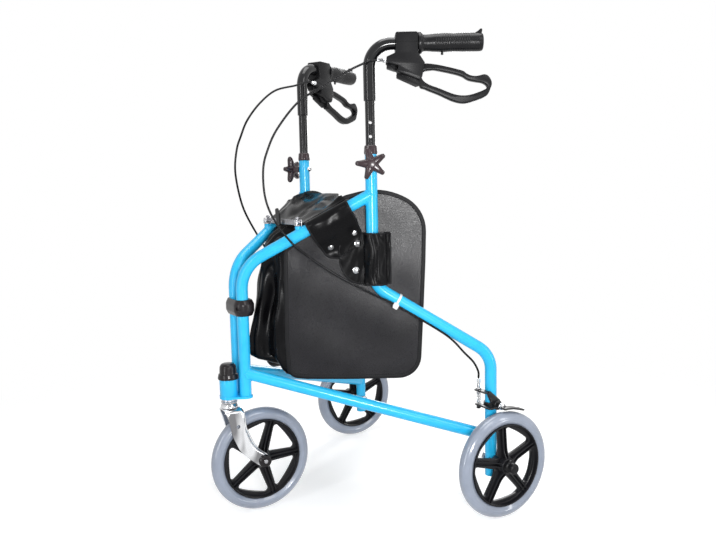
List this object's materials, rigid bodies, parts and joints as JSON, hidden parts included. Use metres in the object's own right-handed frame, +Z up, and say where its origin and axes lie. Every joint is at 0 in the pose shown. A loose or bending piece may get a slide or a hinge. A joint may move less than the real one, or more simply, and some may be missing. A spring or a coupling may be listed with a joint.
{
  "type": "three-wheel rollator",
  "caption": "Folding walking frame with a swivelling front wheel, sliding handles with loop hand brakes, spoked wheels, tyre brakes and a shopping bag",
  "frame": {"origin": "middle of the bounding box's base, on the ground between the three wheels", "axes": "+X towards the walker's left side, +Y backwards towards the user, +Z up"},
  "size_m": [0.6086, 0.569, 0.896],
  "materials": {
    "frame_blue": "glossy sky blue paint",
    "black_steel": "glossy black coating",
    "black_plastic": "moulded, satin",
    "grip_rubber": "textured, matt",
    "tyre_grey": "smooth blue-grey",
    "chrome": "bright plated",
    "zinc": "zinc plated",
    "bag_sheet": "grained artificial leather on stiff board",
    "bag_vinyl": "soft shiny coated fabric",
    "clip_white": "moulded"
  },
  "bodies": {
    "head": {"head_tube": "frame_blue", "head_cap": "black_plastic", "left_hinge_pin": "zinc", "right_hinge_pin": "zinc", "post_sleeve": "black_plastic"},
    "caster": {"caster_fork": "chrome", "caster_stem": "zinc", "front_axle": "zinc"},
    "front_wheel": {"front_tyre": "tyre_grey", "front_rim": "black_plastic"},
    "left_side": {"left_frame": "frame_blue", "left_upright_collar": "black_plastic", "left_brake_cable": "black_plastic", "left_cable_clip": "clip_white", "left_rear_axle": "zinc", "left_brake_bracket": "black_plastic", "left_brake_bolt": "zinc", "left_cable_stop": "chrome", "left_brake_spring": "chrome", "left_bag_panel": "bag_sheet", "left_bag_gusset": "bag_vinyl"},
    "left_handle": {"left_handle_tube": "black_steel", "left_grip": "grip_rubber", "left_brake_housing": "black_plastic", "left_cable_adjuster": "chrome"},
    "left_rocker": {"left_brake_rocker": "black_plastic"},
    "left_lever": {"left_brake_lever": "black_plastic"},
    "left_knob": {"left_knob": "black_plastic", "left_knob_stud": "zinc"},
    "left_wheel": {"left_tyre": "tyre_grey", "left_rim": "black_plastic"},
    "left_shoe": {"left_brake_shoe": "black_steel"},
    "left_clevis": {"left_brace_clevis": "zinc"},
    "left_link": {"left_brace_link": "zinc"},
    "right_side": {"right_frame": "frame_blue", "right_upright_collar": "black_plastic", "right_brake_cable": "black_plastic", "right_cable_clip": "clip_white", "right_rear_axle": "zinc", "right_brake_bracket": "black_plastic", "right_brake_bolt": "zinc", "right_cable_stop": "chrome", "right_brake_spring": "chrome", "right_bag_panel": "bag_sheet", "right_bag_gusset": "bag_vinyl"},
    "right_handle": {"right_handle_tube": "black_steel", "right_grip": "grip_rubber", "right_brake_housing": "black_plastic", "right_cable_adjuster": "chrome"},
    "right_rocker": {"right_brake_rocker": "black_plastic"},
    "right_lever": {"right_brake_lever": "black_plastic"},
    "right_knob": {"right_knob": "black_plastic", "right_knob_stud": "zinc"},
    "right_wheel": {"right_tyre": "tyre_grey", "right_rim": "black_plastic"},
    "right_shoe": {"right_brake_shoe": "black_steel"},
    "right_clevis": {"right_brace_clevis": "zinc"},
    "right_link": {"right_brace_link": "zinc", "fold_tab": "black_plastic"}
  },
  "joints": [
    {"name": "left_fold", "type": "hinge", "parent": "head", "child": "left_side", "pos_m": [0.019, -0.21765, 0.26], "axis": [0, 0, 1], "range_deg": [0, 27], "deforming": ["left_bag_gusset"]},
    {"name": "left_handle_slide", "type": "slide", "parent": "left_side", "child": "left_handle", "axis": [0, 0, 1], "range_m": [-0.075, 0.05], "deforming": ["left_brake_cable"]},
    {"name": "left_park", "type": "hinge", "parent": "left_handle", "child": "left_rocker", "pos_m": [0.16673, 0.04345, 0.828], "axis": [0.8704, -0.4924, 0], "range_deg": [-12, 0]},
    {"name": "left_squeeze", "type": "hinge", "parent": "left_rocker", "child": "left_lever", "pos_m": [0.17658, 0.06086, 0.812], "axis": [0.8704, -0.4924, 0], "range_deg": [0, 14], "stiffness_Nm_per_rad": 0.8, "springref_deg": -17.19},
    {"name": "left_shoe_swing", "type": "hinge", "parent": "left_side", "child": "left_shoe", "pos_m": [0.2465, 0.18745, 0.208], "axis": [-1, 0, 0], "range_deg": [0, 3], "deforming": ["left_brake_spring"]},
    {"name": "left_knob_turn", "type": "hinge", "parent": "left_side", "child": "left_knob", "pos_m": [0.13915, -0.00529, 0.66], "axis": [0.8704, -0.4924, 0], "continuous": true},
    {"name": "left_wheel_spin", "type": "hinge", "parent": "left_side", "child": "left_wheel", "pos_m": [0.2815, 0.18445, 0.1], "axis": [1, 0, 0], "continuous": true},
    {"name": "left_brace_swivel", "type": "hinge", "parent": "left_side", "child": "left_clevis", "pos_m": [0.07218, -0.12365, 0.55699], "axis": [0, 0, 1], "range_deg": [-27, 0]},
    {"name": "left_brace_lift", "type": "hinge", "parent": "left_clevis", "child": "left_link", "pos_m": [0.07218, -0.12365, 0.55699], "axis": [0, 1, 0], "range_deg": [0, 71]},
    {"name": "right_fold", "type": "hinge", "parent": "head", "child": "right_side", "pos_m": [-0.019, -0.21765, 0.26], "axis": [0, 0, 1], "range_deg": [-27, 0], "deforming": ["right_bag_gusset"]},
    {"name": "right_handle_slide", "type": "slide", "parent": "right_side", "child": "right_handle", "axis": [0, 0, 1], "range_m": [-0.075, 0.05], "deforming": ["right_brake_cable"]},
    {"name": "right_park", "type": "hinge", "parent": "right_handle", "child": "right_rocker", "pos_m": [-0.16673, 0.04345, 0.828], "axis": [0.8704, 0.4924, 0], "range_deg": [-12, 0]},
    {"name": "right_squeeze", "type": "hinge", "parent": "right_rocker", "child": "right_lever", "pos_m": [-0.17658, 0.06086, 0.812], "axis": [0.8704, 0.4924, 0], "range_deg": [0, 14], "stiffness_Nm_per_rad": 0.8, "springref_deg": -17.19},
    {"name": "right_shoe_swing", "type": "hinge", "parent": "right_side", "child": "right_shoe", "pos_m": [-0.2465, 0.18745, 0.208], "axis": [-1, 0, 0], "range_deg": [0, 3], "deforming": ["right_brake_spring"]},
    {"name": "right_knob_turn", "type": "hinge", "parent": "right_side", "child": "right_knob", "pos_m": [-0.13915, -0.00529, 0.66], "axis": [-0.8704, -0.4924, 0], "continuous": true},
    {"name": "right_wheel_spin", "type": "hinge", "parent": "right_side", "child": "right_wheel", "pos_m": [-0.2815, 0.18445, 0.1], "axis": [1, 0, 0], "continuous": true},
    {"name": "right_brace_swivel", "type": "hinge", "parent": "right_side", "child": "right_clevis", "pos_m": [-0.07218, -0.12365, 0.55699], "axis": [0, 0, 1], "range_deg": [0, 27]},
    {"name": "right_brace_lift", "type": "hinge", "parent": "right_clevis", "child": "right_link", "pos_m": [-0.07218, -0.12365, 0.55699], "axis": [0, -1, 0], "range_deg": [0, 71]},
    {"name": "caster_swivel", "type": "hinge", "parent": "head", "child": "caster", "pos_m": [0, -0.24415, 0.2], "axis": [0, 0, 1], "continuous": true},
    {"name": "front_wheel_spin", "type": "hinge", "parent": "caster", "child": "front_wheel", "pos_m": [0, -0.18445, 0.1], "axis": [1, 0, 0], "continuous": true}
  ],
  "couplings": [
    {"joint": "left_shoe_swing", "follows": "left_squeeze", "ratio": 0.21429},
    {"joint": "left_brace_swivel", "follows": "left_fold", "ratio": -1},
    {"joint": "left_brace_lift", "follows": "left_fold", "ratio": 2.6231},
    {"joint": "right_fold", "follows": "left_fold", "ratio": -1},
    {"joint": "right_shoe_swing", "follows": "right_squeeze", "ratio": 0.21429},
    {"joint": "right_brace_swivel", "follows": "left_fold", "ratio": 1},
    {"joint": "right_brace_lift", "follows": "left_fold", "ratio": 2.6231}
  ]
}
